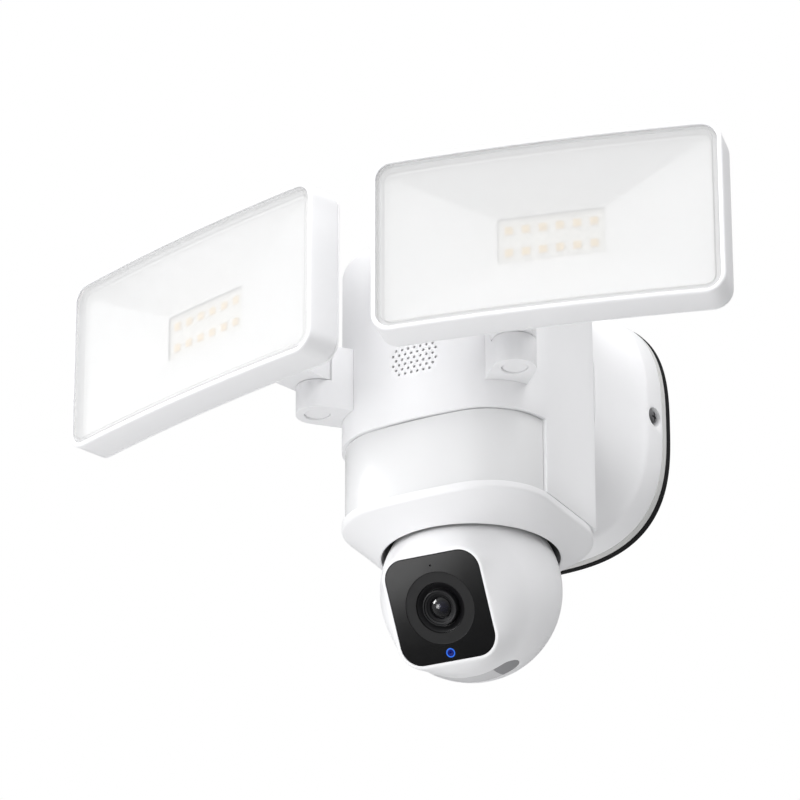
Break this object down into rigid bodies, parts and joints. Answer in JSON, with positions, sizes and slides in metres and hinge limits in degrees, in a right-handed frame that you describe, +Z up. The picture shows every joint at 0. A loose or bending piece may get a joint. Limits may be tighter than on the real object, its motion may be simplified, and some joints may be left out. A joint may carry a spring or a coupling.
{
  "type": "floodlight security camera",
  "caption": "Wall-mounted security camera: a pan-and-tilt camera ball below a housing with a motion sensor window, and hinged LED floodlight panels on side arms.",
  "frame": {"origin": "centre of the back of the wall seal, on the wall", "axes": "+Y into the wall, so the camera faces -Y; +Z up; +X to the object's right-hand lamp as seen from the front"},
  "size_m": [0.3175, 0.1885, 0.1947],
  "materials": {
    "white_shell": "fine satin moulded ASA",
    "ball_shell": "smooth satin moulded plastic",
    "lamp_shell": "fine satin moulded plastic",
    "sensor_window": "smooth milky polyethylene",
    "inner_plastic": "plain moulded plastic",
    "frosted_cover": "frosted polycarbonate",
    "reflector": "glossy white",
    "led_board": "white solder mask with yellow LED chips",
    "black_glass": "polished acrylic",
    "dark_ring": "satin",
    "lens_glass": "coated lens glass",
    "blue_light": "clear light guide",
    "black_plastic": "satin",
    "black_foam": "closed-cell foam",
    "grey_rubber": "soft silicone",
    "dark_rubber": "soft silicone",
    "steel": "zinc plated",
    "aluminium": "milled",
    "nylon": "natural acetal",
    "circuit_board": "green solder mask"
  },
  "bodies": {
    "housing": {"wall_seal": "black_foam", "mounting_plate": "inner_plastic", "wire_grommet": "dark_rubber", "terminal_block": "nylon", "base_shell": "white_shell", "lock_screw_right": "steel", "lock_screw_left": "steel", "upper_housing": "white_shell", "lower_collar": "white_shell", "motion_sensor_window": "sensor_window", "motion_sensor": "steel", "sensor_board": "circuit_board", "speaker": "black_plastic", "main_board": "circuit_board", "power_module": "black_plastic", "heat_spreader": "aluminium", "pivot_deck": "inner_plastic", "pan_bearing": "nylon", "pan_motor": "steel", "arm_right": "white_shell", "pivot_bolt_right": "steel", "pivot_plug_right": "white_shell", "arm_left": "white_shell", "pivot_bolt_left": "steel", "pivot_plug_left": "white_shell"},
    "camera_turntable": {"pan_turntable": "nylon", "pan_retainer": "nylon", "tilt_stem": "black_plastic", "tilt_gear": "nylon"},
    "camera_head": {"tilt_axle": "steel", "head_front_shell": "ball_shell", "head_rear_shell": "ball_shell", "front_glass": "black_glass", "lens_bezel": "dark_ring", "lens_barrel": "black_plastic", "lens_element": "lens_glass", "image_board": "circuit_board", "status_ring": "blue_light", "tilt_motor": "steel", "card_reader": "steel"},
    "pan_drive_pinion": {"pan_pinion": "nylon"},
    "tilt_drive_pinion": {"tilt_pinion": "nylon"},
    "card_flap": {"card_cover": "grey_rubber"},
    "sync_key": {"sync_button": "dark_rubber"},
    "link_right": {"lamp_link_right": "white_shell", "tilt_pin_right": "steel"},
    "link_left": {"lamp_link_left": "white_shell", "tilt_pin_left": "steel"},
    "lamp_right": {"lamp_housing_right": "lamp_shell", "lamp_cover_right": "frosted_cover", "cover_seal_right": "grey_rubber", "lamp_reflector_right": "reflector", "led_board_right": "led_board", "lamp_back_right": "lamp_shell"},
    "lamp_left": {"lamp_housing_left": "lamp_shell", "lamp_cover_left": "frosted_cover", "cover_seal_left": "grey_rubber", "lamp_reflector_left": "reflector", "led_board_left": "led_board", "lamp_back_left": "lamp_shell"}
  },
  "joints": [
    {"name": "camera_pan", "type": "hinge", "parent": "housing", "child": "camera_turntable", "pos_m": [0, -0.0764, -0.05], "axis": [0, 0, 1], "range_deg": [-170, 170]},
    {"name": "camera_tilt", "type": "hinge", "parent": "camera_turntable", "child": "camera_head", "pos_m": [0, -0.0764, -0.0946], "axis": [0.9984, 0.0567, 0], "range_deg": [-8, 43]},
    {"name": "pan_pinion_spin", "type": "hinge", "parent": "housing", "child": "pan_drive_pinion", "pos_m": [0, -0.1014, -0.052], "axis": [0, 0, 1], "range_deg": [-700, 700]},
    {"name": "tilt_pinion_spin", "type": "hinge", "parent": "camera_head", "child": "tilt_drive_pinion", "pos_m": [-0.00057, -0.0664, -0.11075], "axis": [0.9984, 0.0567, 0], "range_deg": [-35, 125]},
    {"name": "card_cover_hinge", "type": "hinge", "parent": "camera_head", "child": "card_flap", "pos_m": [-0.01943, -0.07294, -0.12789], "axis": [-0.0562, 0.9892, 0.1357], "range_deg": [0, 75]},
    {"name": "sync_button_press", "type": "slide", "parent": "camera_head", "child": "sync_key", "axis": [0.0077, -0.1355, 0.9907], "range_m": [0, 0.0008], "stiffness_N_per_m": 300},
    {"name": "lamp_pan_right", "type": "hinge", "parent": "housing", "child": "link_right", "pos_m": [0.0478, -0.1255, 0], "axis": [0, 0, 1], "range_deg": [-8, 50]},
    {"name": "lamp_tilt_right", "type": "hinge", "parent": "link_right", "child": "lamp_right", "pos_m": [0.05457, -0.15267, 0], "axis": [0.9703, 0.2419, 0], "range_deg": [-20, 45]},
    {"name": "lamp_pan_left", "type": "hinge", "parent": "housing", "child": "link_left", "pos_m": [-0.0478, -0.1255, 0], "axis": [0, 0, -1], "range_deg": [-8, 50]},
    {"name": "lamp_tilt_left", "type": "hinge", "parent": "link_left", "child": "lamp_left", "pos_m": [-0.05538, -0.15246, 0], "axis": [0.9627, -0.2706, 0], "range_deg": [-20, 45]}
  ],
  "couplings": [
    {"joint": "pan_pinion_spin", "follows": "camera_pan", "ratio": -4},
    {"joint": "tilt_pinion_spin", "follows": "camera_tilt", "ratio": 2.8}
  ]
}
